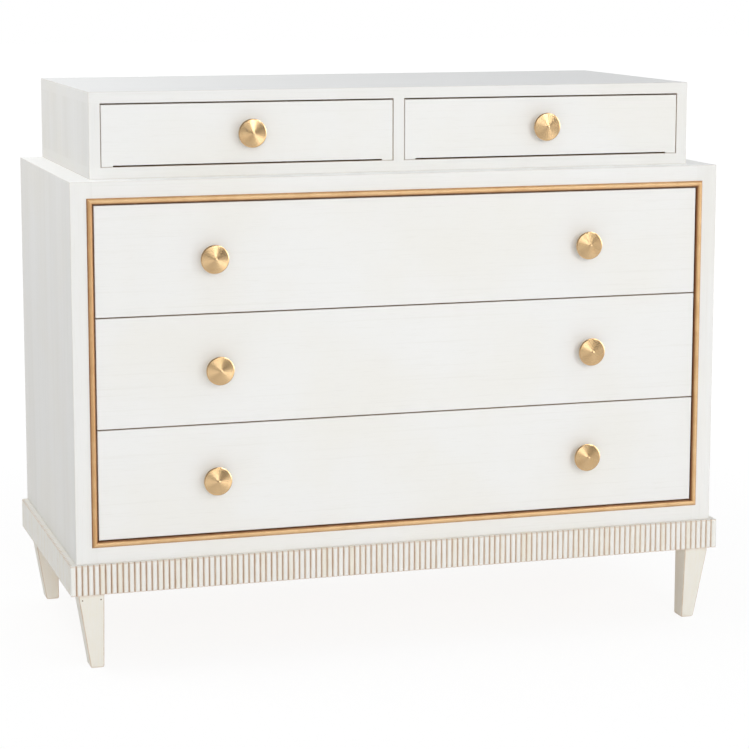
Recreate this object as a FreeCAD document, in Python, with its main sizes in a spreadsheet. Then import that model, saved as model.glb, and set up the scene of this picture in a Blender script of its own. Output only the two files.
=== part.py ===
import FreeCAD, Part
import math
import os
import Sketcher
from types import SimpleNamespace

# A white painted chest of drawers in two tiers. Three wide drawers hang on side
# runners in the lower case, inside an opening edged with a gilt bead. Two small
# drawers ride on the floor of a lower, set-back box on top. The case stands on a
# plinth that is reeded at the front and sides, and on four tapered legs.
# X runs to the right, Y to the back and Z up. The origin lies on the floor, under
# the middle of the whole outline, and the drawers are shut.

DRIVING_SIZES = [
    ("case_width", 1200, "lower case, outside"),
    ("case_depth", 540, "lower case, front to back"),
    ("case_height", 666.5, "lower case, above the plinth"),
    ("case_board", 20, "sides, top and floor of the lower case"),
    ("back_board", 8, "both back panels"),
    ("back_lip", 10, "how far a back panel is let into the boards round it"),
    ("frame_width", 39, "stiles and rails, seen from the front"),
    ("frame_thickness", 22, "stiles and rails, front to back"),
    ("bead_width", 10.5, "gilt bead, seen from the front"),
    ("bead_rise", 5, "bead in front of the frame"),
    ("bead_seat", 5, "bead let into the frame"),
    ("upper_height", 150, "upper box, outside"),
    ("upper_inset", 42.5, "upper box in from each side of the case"),
    ("upper_setback", 43, "upper box behind the front of the case"),
    ("upper_board", 20, "boards of the upper box"),
    ("upper_housing", 6, "how far the partition is let into top and floor"),
    ("apron_height", 54, "plinth boards"),
    ("apron_side_overhang", 11.5, "plinth outside the case at each side"),
    ("apron_front_overhang", 9.6, "crowns of the reeds in front of the case"),
    ("reed_count", 119, "reeds across the front"),
    ("side_reed_count", 53, "reeds along each side, with the corner one"),
    ("reed_depth", 3.6, "crown of a reed to the bottom of the groove beside it"),
    ("reed_flank", 1.9, "sloping flank at each side of a reed, seen square on"),
    ("block_leg", 74, "corner block along each plinth board"),
    ("block_height", 38, "corner block"),
    ("leg_height", 136, "floor to plinth"),
    ("leg_section", 45, "leg at its collar, both ways"),
    ("leg_collar", 8, "straight part at the top of a leg"),
    ("leg_side_taper", 21, "taper of the outer side face"),
    ("leg_front_taper", 10.5, "taper of the front or back face"),
    ("leg_side_inset", 15, "leg in from the side of the plinth"),
    ("leg_front_inset", 7.5, "front leg in from the crowns of the reeds"),
    ("leg_back_inset", 14, "back leg in from the back of the plinth"),
    ("leg_chamfer", 2, "worn long edges and foot of a leg"),
    ("tenon_size", 22, "tenon on top of a leg, both ways"),
    ("tenon_inset", 3, "tenon in from the inner faces of its leg"),
    ("drawer_gap", 2, "round and between the wide drawer fronts"),
    ("drawer_front", 20, "wide drawer fronts"),
    ("drawer_side", 16, "wide drawer sides"),
    ("drawer_back", 12, "drawer backs"),
    ("drawer_bottom", 6, "drawer bottoms"),
    ("drawer_room", 57, "wide drawer to the back panel, when it is shut"),
    ("drawer_side_low", 6, "bottom of a wide side above the bottom of its front"),
    ("drawer_side_top", 20, "top of a drawer side below the top of its front"),
    ("bottom_groove", 6, "depth of the grooves that hold a drawer bottom"),
    ("bottom_rise", 10, "drawer bottom above the lower edge of the sides"),
    ("tail_length", 12, "dovetails of a drawer side, let into the back of its front"),
    ("tail_slope", 0.16, "flare of a dovetail against its length"),
    ("tail_pin", 8, "narrow end of the pin between two dovetails"),
    ("wide_tails", 5, "dovetails on each side of a wide drawer"),
    ("small_tails", 3, "dovetails on each side of a small drawer"),
    ("runner_height", 18, "runners of the wide drawers"),
    ("runner_groove", 8, "groove for a runner in a drawer side"),
    ("runner_stop", 24, "solid end of that groove behind the drawer front"),
    ("running_gap", 0.3, "a sliding piece above or before its seat"),
    ("side_play", 0.6, "a sliding piece beside its guide"),
    ("small_gap", 2.4, "above the small drawer fronts, and between their feet"),
    ("small_side_gap", 1.2, "beside the small drawer fronts"),
    ("small_front", 18, "small drawer fronts"),
    ("small_side", 12, "small drawer sides"),
    ("small_room", 66, "small drawer to the back panel, when it is shut"),
    ("small_foot", 20, "foot at each lower corner of a small front"),
    ("stop_size", 18, "stop block behind a small drawer side, each way"),
    ("arris", 1.2, "rounded edges of the painted boards"),
    ("knob_diameter", 50.8, "over the rim"),
    ("knob_projection", 30, "drawer front to the tip"),
    ("knob_cone", 6.5, "rise of the conical face"),
    ("knob_rim", 2.6, "thickness at the rim"),
    ("knob_stem", 17, "diameter of the stem"),
    ("knob_spacing", 694, "between the knobs of a wide drawer"),
    ("knob_drift_top", -6, "pair of knobs off centre, top wide drawer"),
    ("knob_drift_middle", 2, "pair of knobs off centre, middle wide drawer"),
    ("knob_drift_bottom", -4, "pair of knobs off centre, bottom wide drawer"),
    ("screw_radius", 2, "knob screw"),
    ("screw_hole_play", 0.2, "hole wider than its screw, on the radius"),
    ("screw_bite", 11, "knob screw inside its knob"),
    ("screw_head_radius", 4, "head of a knob screw"),
    ("screw_head", 2.4, "height of the head of a knob screw"),
]

doc = FreeCAD.newDocument("chest_of_drawers")


class Size:
    """A length that carries its number and the sheet formula that gives it."""

    def __init__(self, number, formula):
        self.number = number
        self.formula = formula

    @staticmethod
    def of(value):
        return value if isinstance(value, Size) else Size(value, repr(value))

    def __add__(self, other):
        other = Size.of(other)
        return Size(self.number + other.number, f"({self.formula} + {other.formula})")

    def __sub__(self, other):
        other = Size.of(other)
        return Size(self.number - other.number, f"({self.formula} - {other.formula})")

    def __mul__(self, other):
        other = Size.of(other)
        return Size(self.number * other.number, f"({self.formula} * {other.formula})")

    def __truediv__(self, other):
        other = Size.of(other)
        return Size(self.number / other.number, f"({self.formula} / {other.formula})")

    def __radd__(self, other):
        return Size.of(other) + self

    def __rsub__(self, other):
        return Size.of(other) - self

    def __rmul__(self, other):
        return Size.of(other) * self

    def __neg__(self):
        return Size(-self.number, f"(-{self.formula})")


def driving_sheet():
    """Write the sheet of driving sizes and return each one by its name."""
    sheet = doc.addObject("Spreadsheet::Sheet", "sizes")
    named = SimpleNamespace()
    for row, (alias, number, note) in enumerate(DRIVING_SIZES, start=1):
        sheet.set(f"A{row}", alias)
        sheet.set(f"B{row}", str(number))
        sheet.setAlias(f"B{row}", alias)
        sheet.set(f"C{row}", note)
        setattr(named, alias, Size(number, f"sizes.{alias}"))
    doc.recompute()
    return named


def bind(item, path, value):
    """Tie one property of a document object to a size."""
    item.setExpression(path, Size.of(value).formula)


# Bodies, sketches and features

nodes = []


def node(item):
    """Keep an object as a sub-part of the chest."""
    nodes.append(item)
    return item


def new_body(label, low, turn=None):
    """Start a body with its own origin at the place low, turned by turn."""
    body = doc.addObject("PartDesign::Body", label)
    body.Label = label
    if turn is not None:
        body.Placement = FreeCAD.Placement(FreeCAD.Vector(), turn)
    for axis, place in zip("xyz", low):
        bind(body, f"Placement.Base.{axis}", place)
    return body


def new_sketch(body, name, role, offset=(0, 0, 0)):
    """Start a sketch on one of the body's own origin planes, moved by offset in the sketch's axes."""
    sketch = body.newObject("Sketcher::SketchObject", f"{body.Name}_{name}")
    plane = next(item for item in body.Origin.OriginFeatures if item.Role == role)
    sketch.AttachmentSupport = [(plane, "")]
    sketch.MapMode = "FlatFace"
    for axis, place in zip("xyz", offset):
        bind(sketch, f"AttachmentOffset.Base.{axis}", place)
    return sketch


def hold_point(sketch, index, end, place):
    """Fix a point of the sketch at a place (across, up) given in sizes."""
    for kind, axis, value in (("DistanceX", -2, place[0]), ("DistanceY", -1, place[1])):
        value = Size.of(value)
        if value.number == 0:
            sketch.addConstraint(Sketcher.Constraint("PointOnObject", index, end, axis))
            continue
        held = sketch.addConstraint(Sketcher.Constraint(kind, -1, 1, index, end, value.number))
        sketch.setExpression(f"Constraints[{held}]", value.formula)


def arc_between(start, finish, radius, side):
    """A short arc of the radius between two points, bulging to the left (1) or right (-1) of the chord."""
    chord = finish - start
    half = chord.Length / 2
    rise = radius - math.sqrt(radius * radius - half * half)
    left = FreeCAD.Vector(-chord.y, chord.x, 0).normalize()
    middle = start + chord * 0.5 + left * (rise * side)
    ends = (finish, start) if side > 0 else (start, finish)
    return Part.Arc(ends[0], middle, ends[1])


def outline(sketch, places, arcs=None):
    """Draw a closed outline through places.

    arcs maps a corner's number to (radius, side) where the edge after that corner is round.
    """
    arcs = arcs or {}
    points = [FreeCAD.Vector(Size.of(a).number, Size.of(b).number, 0) for a, b in places]
    count, first = len(points), sketch.GeometryCount
    starts = []
    for i, point in enumerate(points):
        after = points[(i + 1) % count]
        if i not in arcs:
            sketch.addGeometry(Part.LineSegment(point, after), False)
            starts.append((1, 2))
            continue
        radius, side = arcs[i]
        sketch.addGeometry(arc_between(point, after, radius.number, side), False)
        starts.append((2, 1) if side > 0 else (1, 2))
    for i in range(count):
        after = (i + 1) % count
        sketch.addConstraint(Sketcher.Constraint("Coincident", first + i, starts[i][1],
                                                 first + after, starts[after][0]))
    for i, place in enumerate(places):
        hold_point(sketch, first + i, starts[i][0], place)
    for i, (radius, side) in arcs.items():
        held = sketch.addConstraint(Sketcher.Constraint("Radius", first + i, radius.number))
        sketch.setExpression(f"Constraints[{held}]", radius.formula)


def rectangle(sketch, across, up):
    """Draw a rectangle with its low corner on the sketch's origin."""
    outline(sketch, [(0, 0), (across, 0), (across, up), (0, up)])


def circles(sketch, centres, radius):
    """Draw equal circles at the given centres."""
    for i, (across, up) in enumerate(centres):
        middle = FreeCAD.Vector(Size.of(across).number, Size.of(up).number, 0)
        sketch.addGeometry(Part.Circle(middle, FreeCAD.Vector(0, 0, 1), radius.number), False)
        hold_point(sketch, i, 3, (across, up))
        held = sketch.addConstraint(Sketcher.Constraint("Radius", i, radius.number))
        sketch.setExpression(f"Constraints[{held}]", radius.formula)


def pad(body, sketch, length):
    """Raise a sketch along its normal."""
    feature = body.newObject("PartDesign::Pad", f"{sketch.Name}_pad")
    feature.Profile = sketch
    bind(feature, "Length", length)
    return feature


def pocket(body, sketch, depth):
    """Sink a sketch against its normal."""
    feature = body.newObject("PartDesign::Pocket", f"{sketch.Name}_pocket")
    feature.Profile = sketch
    bind(feature, "Length", depth)
    return feature


def board(label, low, size):
    """A straight board from its low corner, sized (width, depth, height)."""
    body = new_body(label, low)
    plan = new_sketch(body, "plan", "XY_Plane")
    rectangle(plan, size[0], size[1])
    pad(body, plan, size[2])
    return body


def trench(body, name, along, low, size):
    """Cut a box-shaped groove or rebate; along is the axis in which the cutter sinks."""
    (x, y, z), (dx, dy, dz) = low, size
    if along == "x":
        sketch = new_sketch(body, name, "YZ_Plane", (y, z, x + dx))
        rectangle(sketch, dy, dz)
        return pocket(body, sketch, dx)
    if along == "y":
        sketch = new_sketch(body, name, "XZ_Plane", (x, z, -Size.of(y)))
        rectangle(sketch, dx, dz)
        return pocket(body, sketch, dy)
    sketch = new_sketch(body, name, "XY_Plane", (x, y, z + dz))
    rectangle(sketch, dx, dy)
    return pocket(body, sketch, dz)


def soften(body, name, size, wanted, kind="Fillet"):
    """Round or chamfer those edges of the body for which wanted(low corner, high corner) holds."""
    doc.recompute()
    base = body.Tip
    picked = []
    for number, edge in enumerate(base.Shape.Edges, start=1):
        box = edge.BoundBox
        if wanted((box.XMin, box.YMin, box.ZMin), (box.XMax, box.YMax, box.ZMax)):
            picked.append(f"Edge{number}")
    feature = body.newObject(f"PartDesign::{kind}", f"{body.Name}_{name}")
    feature.Base = (base, picked)
    bind(feature, "Radius" if kind == "Fillet" else "Size", size)
    return feature


def near(a, b):
    """Two coordinates are the same to a hundredth of a millimetre."""
    return abs(a - b) < 0.01


def turned(label, low, places):
    """A piece turned about its own axis, which points to the front, from a half profile (radius, height)."""
    body = new_body(label, low, FACING_FRONT)
    profile = new_sketch(body, "profile", "XZ_Plane")
    outline(profile, places)
    feature = body.newObject("PartDesign::Revolution", f"{label}_turn")
    feature.Profile = profile
    feature.ReferenceAxis = (profile, ["V_Axis"])
    feature.Angle = 360
    return body


def group(label, bodies):
    """Several separate solids that share one node."""
    item = doc.addObject("Part::Compound", label)
    item.Label = label
    item.Links = bodies
    return node(item)


S = driving_sheet()
FACING_FRONT = FreeCAD.Rotation(FreeCAD.Vector(1, 0, 0), 90)

# Levels and planes that several pieces share

front = (S.knob_projection - S.case_depth) / 2
back = front + S.case_depth
side = S.case_width / 2
case_floor = S.leg_height + S.apron_height
case_top = case_floor + S.case_height
inner_side = side - S.case_board
frame_back = front + S.frame_thickness
panel_face = back - S.back_board
opening_half = side - S.frame_width
opening_low = case_floor + S.frame_width
opening_high = case_top - S.frame_width

upper_front = front + S.upper_setback
upper_side = side - S.upper_inset
upper_inner = upper_side - S.upper_board
upper_floor = case_top + S.upper_board
upper_ceiling = case_top + S.upper_height - S.upper_board
half_partition = S.upper_board / 2

apron_side = side + S.apron_side_overhang
apron_front = front - S.apron_front_overhang
reed_pitch = 2 * apron_side / S.reed_count
side_reed_pitch = (back - apron_front) / S.side_reed_count
apron_thickness = 2 * side_reed_pitch
apron_inner_side = apron_side - apron_thickness
apron_inner_front = apron_front + apron_thickness
apron_inner_back = back - apron_thickness


# Lower case

def case_side(label, is_left):
    """An upright side, rebated at the back for the panel."""
    low_x = -side if is_left else inner_side
    body = board(label, (low_x, frame_back, case_floor),
                 (S.case_board, S.case_depth - S.frame_thickness, S.case_height))
    run = S.case_depth - S.frame_thickness - S.back_board
    rebate_x = S.case_board - S.back_lip if is_left else Size.of(0)
    trench(body, "back_rebate", "y", (rebate_x, run, Size.of(0)), (S.back_lip, S.back_board, S.case_height))
    outer = 0 if is_left else S.case_board.number
    soften(body, "edges", S.arris, lambda a, b: near(a[0], outer) and near(b[0], outer)
           and near(a[2], S.case_height.number))
    return node(body)


def stile(label, is_left):
    """An upright of the face frame, rebated for the bead along the opening."""
    low_x = -side if is_left else opening_half
    body = board(label, (low_x, front, case_floor), (S.frame_width, S.frame_thickness, S.case_height))
    seat_x = S.frame_width - S.bead_width if is_left else Size.of(0)
    low_z = S.frame_width - S.bead_width
    seat_length = S.case_height - 2 * low_z
    trench(body, "bead_seat", "y", (seat_x, Size.of(0), low_z), (S.bead_width, S.bead_seat, seat_length))
    outer = 0 if is_left else S.frame_width.number
    soften(body, "edges", S.arris, lambda a, b: near(a[0], outer) and near(b[0], outer)
           and near(a[1], 0) and near(b[1], 0))
    return node(body)


def rail(label, is_top):
    """A cross piece of the face frame between the stiles, rebated for the bead."""
    low_z = opening_high if is_top else case_floor
    body = board(label, (-opening_half, front, low_z), (2 * opening_half, S.frame_thickness, S.frame_width))
    seat_z = Size.of(0) if is_top else S.frame_width - S.bead_width
    trench(body, "bead_seat", "y", (Size.of(0), Size.of(0), seat_z),
           (2 * opening_half, S.bead_seat, S.bead_width))
    if is_top:
        soften(body, "edges", S.arris, lambda a, b: near(a[1], 0) and near(b[1], 0)
               and near(a[2], S.frame_width.number))
    return node(body)


def bead_length(label, low, length, wide_at_low, upright):
    """One length of astragal bead, mitred at both ends, with its long edge on the outside of the opening."""
    body = new_body(label, low)
    sketch = new_sketch(body, "face", "XZ_Plane")
    width = S.bead_width
    if wide_at_low:
        run = [(0, 0), (length, 0), (length - width, width), (width, width)]
    else:
        run = [(width, 0), (length - width, 0), (length, width), (0, width)]
    outline(sketch, [(b, a) for a, b in run] if upright else run)
    pad(body, sketch, S.bead_rise + S.bead_seat)
    depth = (S.bead_rise + S.bead_seat).number
    axis = 2 if upright else 0
    soften(body, "round", S.bead_width * 0.47, lambda a, b: near(a[1], -depth) and near(b[1], -depth)
           and b[axis] - a[axis] > 4 * width.number and near(a[2 - axis], b[2 - axis]))
    return body


def gilt_bead():
    """The four mitred lengths of bead round the opening of the wide drawers."""
    low_x = -opening_half - S.bead_width
    low_z = opening_low - S.bead_width
    seat = front + S.bead_seat
    across = 2 * (opening_half + S.bead_width)
    up = opening_high - opening_low + 2 * S.bead_width
    lengths = [
        bead_length("bead_bottom", (low_x, seat, low_z), across, True, False),
        bead_length("bead_top", (low_x, seat, opening_high), across, False, False),
        bead_length("bead_left", (low_x, seat, low_z), up, True, True),
        bead_length("bead_right", (opening_half, seat, low_z), up, False, True),
    ]
    return group("gilt_bead", lengths)


def case_panel(label, low_z, is_top):
    """The top or floor of the lower case, between the sides and rebated at the back for the panel."""
    depth = S.case_depth - S.frame_thickness
    body = board(label, (-inner_side, frame_back, low_z), (2 * inner_side, depth, S.case_board))
    rebate_z = Size.of(0) if is_top else S.case_board - S.back_lip
    trench(body, "back_rebate", "y", (Size.of(0), depth - S.back_board, rebate_z),
           (2 * inner_side, S.back_board, S.back_lip))
    return node(body)


def case_back():
    """The thin panel that closes the lower case behind."""
    reach = inner_side + S.back_lip
    low_z = case_floor + S.case_board - S.back_lip
    height = S.case_height - 2 * (S.case_board - S.back_lip)
    return node(board("case_back", (-reach, panel_face, low_z), (2 * reach, S.back_board, height)))


# Plinth and legs

def reed_row(body, name, plan, count, pitch, role):
    """Raise one reed from its plan to the height of the plinth and repeat it along an axis of the body."""
    reed = pad(body, plan, S.apron_height)
    row = body.newObject("PartDesign::LinearPattern", f"{body.Name}_{name}")
    row.Originals = [reed]
    row.Direction = (next(item for item in body.Origin.OriginFeatures if item.Role == role), [""])
    bind(row, "Length", pitch * (count - 1))
    bind(row, "Occurrences", count)
    body.Tip = row


def front_reed(body):
    """The plan of the first reed of the front: a flat crown between two flanks."""
    plan = new_sketch(body, "reed", "XY_Plane")
    outline(plan, [(0, 0), (S.reed_flank, -S.reed_depth), (reed_pitch - S.reed_flank, -S.reed_depth),
                   (reed_pitch, 0)])
    return plan


def side_reed(body, low, outward):
    """The plan of a reed on a side, from the place low; outward is 1 where it faces the right, -1 the left."""
    plan = new_sketch(body, f"reed_{outward}", "XY_Plane", (low[0], low[1], 0))
    crown, far = outward * S.reed_depth, side_reed_pitch - S.reed_flank
    outline(plan, [(0, 0), (crown, S.reed_flank), (crown, far), (0, side_reed_pitch)])
    return plan


def apron_front_board():
    """The reeded front of the plinth; each end of it carries the corner reed and the next one of the side."""
    base = apron_side - S.reed_depth
    body = board("apron_front", (-apron_side, apron_front + S.reed_depth, S.leg_height),
                 (2 * apron_side, side_reed_pitch - S.reed_flank - S.reed_depth, S.apron_height))
    tongue = new_sketch(body, "tongue", "XY_Plane", (S.reed_depth, 0, 0))
    rectangle(tongue, 2 * base, apron_thickness - S.reed_depth)
    pad(body, tongue, S.apron_height)
    for low_x, outward in ((S.reed_depth, -1), (2 * apron_side - S.reed_depth, 1)):
        corner_low = side_reed_pitch - S.reed_flank - S.reed_depth
        flank = new_sketch(body, f"corner_{outward}", "XY_Plane", (low_x, corner_low, 0))
        outline(flank, [(0, 0), (outward * S.reed_depth, 0), (0, S.reed_flank)])
        pad(body, flank, S.apron_height)
        pad(body, side_reed(body, (low_x, side_reed_pitch - S.reed_depth), outward), S.apron_height)
    reed_row(body, "reeds", front_reed(body), S.reed_count, reed_pitch, "X_Axis")
    return node(body)


def apron_side_board(label, is_left):
    """A reeded side of the plinth, from behind the front board to the back."""
    low_x = -(apron_side - S.reed_depth) if is_left else apron_inner_side
    thickness, run = apron_thickness - S.reed_depth, back - apron_inner_front
    body = board(label, (low_x, apron_inner_front, S.leg_height), (thickness, run, S.apron_height))
    face, outward = (Size.of(0), -1) if is_left else (thickness, 1)
    plan = side_reed(body, (face, Size.of(0)), outward)
    reed_row(body, "reeds", plan, S.side_reed_count - 2, side_reed_pitch, "Y_Axis")
    return node(body)


def apron_back_board():
    """The plain back of the plinth, between the side boards."""
    return node(board("apron_back", (-apron_inner_side, apron_inner_back, S.leg_height),
                      (2 * apron_inner_side, apron_thickness, S.apron_height)))


LEGS = [("leg_front_left", True, True), ("leg_front_right", False, True),
        ("leg_rear_left", True, False), ("leg_rear_right", False, False)]


def leg_low(is_left, is_front):
    """The low corner of a leg in plan."""
    outer_x = apron_side - S.leg_side_inset
    x = -outer_x if is_left else outer_x - S.leg_section
    y = apron_front + S.leg_front_inset if is_front else back - S.leg_back_inset - S.leg_section
    return x, y


def tenon_low(is_left, is_front):
    """The low corner of the tenon of a leg, from the low corner of that leg."""
    far = S.leg_section - S.tenon_inset - S.tenon_size
    return (far if is_left else S.tenon_inset), (far if is_front else S.tenon_inset)


def leg(label, is_left, is_front):
    """A square leg with a tenon on top, whose two outer faces taper below a straight collar."""
    x, y = leg_low(is_left, is_front)
    section, drop = S.leg_section, S.leg_height - S.leg_collar
    body = board(label, (x, y, 0), (section, section, S.leg_height))
    slant = new_sketch(body, "side_taper", "XZ_Plane", (0, 0, -section))
    if is_left:
        outline(slant, [(0, 0), (S.leg_side_taper, 0), (0, drop)])
    else:
        outline(slant, [(section, 0), (section, drop), (section - S.leg_side_taper, 0)])
    pocket(body, slant, section).Reversed = True
    slant = new_sketch(body, "end_taper", "YZ_Plane", (0, 0, section))
    if is_front:
        outline(slant, [(0, 0), (S.leg_front_taper, 0), (0, drop)])
    else:
        outline(slant, [(section, 0), (section, drop), (section - S.leg_front_taper, 0)])
    pocket(body, slant, section)
    tenon = new_sketch(body, "tenon", "XY_Plane", (*tenon_low(is_left, is_front), S.leg_height))
    rectangle(tenon, S.tenon_size, S.tenon_size)
    pad(body, tenon, S.block_height)
    soften(body, "edges", S.leg_chamfer, lambda a, b: near(a[2], 0), "Chamfer")
    return node(body)


def corner_block(label, is_left, is_front):
    """A three-cornered block glued in a corner of the plinth, mortised for the tenon of its leg."""
    reach, cut = S.block_leg, S.block_leg - S.block_leg / 4
    low_x = -apron_inner_side if is_left else apron_inner_side - reach
    low_y = apron_inner_front if is_front else apron_inner_back - reach
    body = new_body(label, (low_x, low_y, S.leg_height))
    plan = new_sketch(body, "plan", "XY_Plane")
    shape = [(0, 0), (reach, 0), (reach, reach - cut), (reach - cut, reach), (0, reach)]
    shape = [(a if is_left else reach - a, b if is_front else reach - b) for a, b in shape]
    outline(plan, shape)
    pad(body, plan, S.block_height)
    leg_x, leg_y = leg_low(is_left, is_front)
    tenon_x, tenon_y = tenon_low(is_left, is_front)
    trench(body, "mortise", "z", (leg_x + tenon_x - low_x, leg_y + tenon_y - low_y, Size.of(0)),
           (S.tenon_size, S.tenon_size, S.block_height))
    return body


# Upper box

def upper_plank(label, low_z, is_top):
    """The top or floor of the upper box, housed for the partition and rebated for the back panel."""
    depth = S.case_depth - S.upper_setback
    body = board(label, (-upper_side, upper_front, low_z), (2 * upper_side, depth, S.upper_board))
    inner = S.upper_board - S.upper_housing if not is_top else Size.of(0)
    trench(body, "housing", "z", (upper_side - half_partition, Size.of(0), inner),
           (S.upper_board, depth - S.back_board, S.upper_housing))
    rebate_z = Size.of(0) if is_top else S.upper_board - S.back_lip
    trench(body, "back_rebate", "y", (S.upper_board - S.back_lip, depth - S.back_board, rebate_z),
           (2 * (upper_inner + S.back_lip), S.back_board, S.back_lip))
    return body


def upper_top():
    """The top of the upper box, with its outer edges eased."""
    body = upper_plank("upper_top", upper_ceiling, True)
    reach, depth, high = (2 * upper_side).number, (S.case_depth - S.upper_setback).number, S.upper_board.number
    soften(body, "edges", S.arris, lambda a, b: near(a[2], high) and near(b[2], high)
           and (near(b[1], 0) or near(a[1], depth) or near(b[0], 0) or near(a[0], reach)))
    return node(body)


def upper_end(label, is_left):
    """A side of the upper box between top and floor, rebated for the back panel."""
    depth = S.case_depth - S.upper_setback
    height = S.upper_height - 2 * S.upper_board
    low_x = -upper_side if is_left else upper_inner
    body = board(label, (low_x, upper_front, upper_floor), (S.upper_board, depth, height))
    rebate_x = S.upper_board - S.back_lip if is_left else Size.of(0)
    trench(body, "back_rebate", "y", (rebate_x, depth - S.back_board, Size.of(0)),
           (S.back_lip, S.back_board, height))
    outer = 0 if is_left else S.upper_board.number
    soften(body, "edges", S.arris, lambda a, b: near(a[0], outer) and near(b[0], outer)
           and near(b[1], 0))
    return node(body)


def upper_partition():
    """The upright between the small drawers, let into top and floor."""
    depth = S.case_depth - S.upper_setback - S.back_board
    return node(board("upper_partition", (-half_partition, upper_front, upper_floor - S.upper_housing),
                      (S.upper_board, depth, S.upper_height - 2 * S.upper_board + 2 * S.upper_housing)))


def upper_back():
    """The thin panel that closes the upper box behind."""
    reach = upper_inner + S.back_lip
    height = S.upper_height - 2 * (S.upper_board - S.back_lip)
    return node(board("upper_back", (-reach, panel_face, case_top + S.upper_board - S.back_lip),
                      (2 * reach, S.back_board, height)))


# Drawers

class Drawer:
    """The places of one drawer: the ends and edges of its front, its lengths and its knobs."""

    def __init__(self, label, low_x, high_x, low_z, high_z, knobs, is_wide):
        self.label, self.is_wide = label, is_wide
        self.low_x, self.high_x, self.low_z, self.high_z = low_x, high_x, low_z, high_z
        self.knobs = knobs
        self.face = front if is_wide else upper_front
        self.thick = S.drawer_front if is_wide else S.small_front
        self.wall = S.drawer_side if is_wide else S.small_side
        self.tails = S.wide_tails if is_wide else S.small_tails
        self.side_low = low_z + S.drawer_side_low if is_wide else low_z
        self.side_high = high_z - S.drawer_side_top
        self.rear = panel_face - (S.drawer_room if is_wide else S.small_room)
        self.run = self.rear - self.face - self.thick
        self.floor = self.side_low + S.bottom_rise
        self.knob_z = (low_z + high_z) / 2 if is_wide else (low_z + S.small_gap + high_z) / 2

    def dovetails(self):
        """The dovetails up a side: low and high edge at the tip, then at the root."""
        pitch = (self.side_high - self.side_low) / self.tails
        flare = S.tail_length * S.tail_slope
        edges = []
        for row in range(int(self.tails.number)):
            low, high = pitch * row + S.tail_pin / 2, pitch * (row + 1) - S.tail_pin / 2
            edges.append((low, high, low + flare, high - flare))
        return edges

    def front_board(self):
        """The front, socketed for the dovetails, grooved for the bottom and bored for the knob screws."""
        width, height = self.high_x - self.low_x, self.high_z - self.low_z
        body = board(f"{self.label}_front", (self.low_x, self.face, self.low_z), (width, self.thick, height))
        for end, cut_from in (("left", self.wall), ("right", width)):
            offset = (self.thick - S.tail_length, self.side_low - self.low_z, cut_from)
            sockets = new_sketch(body, f"{end}_sockets", "YZ_Plane", offset)
            for low, high, low_root, high_root in self.dovetails():
                outline(sockets, [(0, low), (S.tail_length, low_root), (S.tail_length, high_root), (0, high)])
            pocket(body, sockets, self.wall)
        reach = self.wall - S.bottom_groove
        trench(body, "bottom_groove", "y", (reach, self.thick - S.bottom_groove, self.floor - self.low_z),
               (width - 2 * reach, S.bottom_groove, S.drawer_bottom))
        holes = new_sketch(body, "knob_holes", "XZ_Plane")
        circles(holes, [(x - self.low_x, self.knob_z - self.low_z) for x in self.knobs],
                S.screw_radius + S.screw_hole_play)
        pocket(body, holes, self.thick)
        if not self.is_wide:
            trench(body, "relief", "z", (S.small_foot, Size.of(0), Size.of(0)),
                   (width - 2 * S.small_foot, self.thick, S.small_gap))
        soften(body, "edges", S.arris, lambda a, b: near(a[1], 0) and near(b[1], 0)
               and (b[0] - a[0] + b[2] - a[2]) > 4 * S.small_gap.number)
        return node(body)

    def side_boards(self):
        """The two sides, dovetailed in front, grooved for the bottom and, on a wide drawer, for its runner."""
        depth, height = self.run + S.tail_length, self.side_high - self.side_low
        low_y = self.face + self.thick - S.tail_length
        profile = [(depth, 0), (depth, height), (S.tail_length, height)]
        for low, high, low_root, high_root in reversed(self.dovetails()):
            profile += [(S.tail_length, high_root), (0, high), (0, low), (S.tail_length, low_root)]
        profile.append((S.tail_length, 0))
        pair = []
        for end in ("left", "right"):
            is_left = end == "left"
            low_x = self.low_x if is_left else self.high_x - self.wall
            body = new_body(f"{self.label}_side_{end}", (low_x, low_y, self.side_low))
            elevation = new_sketch(body, "elevation", "YZ_Plane")
            outline(elevation, profile)
            pad(body, elevation, self.wall)
            groove_x = self.wall - S.bottom_groove if is_left else Size.of(0)
            trench(body, "bottom_groove", "x", (groove_x, Size.of(0), S.bottom_rise),
                   (S.bottom_groove, depth, S.drawer_bottom))
            if self.is_wide:
                groove_x = Size.of(0) if is_left else self.wall - S.runner_groove
                start = S.tail_length + S.runner_stop
                trench(body, "runner_groove", "x", (groove_x, start, self.runner_low() - self.side_low),
                       (S.runner_groove, depth - start, S.runner_height + 2 * S.running_gap))
            pair.append(body)
        return group(f"{self.label}_sides", pair)

    def runner_low(self):
        """The lower face of the groove for the runner, half way up the side."""
        return (self.side_low + self.side_high) / 2 - S.runner_height / 2

    def back_board(self):
        """The back, between the sides and on top of the drawer bottom."""
        low_x = self.low_x + self.wall
        low_z = self.floor + S.drawer_bottom
        return node(board(f"{self.label}_back", (low_x, self.rear - S.drawer_back, low_z),
                          (self.high_x - self.wall - low_x, S.drawer_back, self.side_high - low_z)))

    def bottom_board(self):
        """The bottom, slid from behind into the grooves of the sides and the front."""
        low_x = self.low_x + self.wall - S.bottom_groove
        high_x = self.high_x - self.wall + S.bottom_groove
        low_y = self.face + self.thick - S.bottom_groove
        return node(board(f"{self.label}_floor", (low_x, low_y, self.floor),
                          (high_x - low_x, self.rear - low_y, S.drawer_bottom)))

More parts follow.
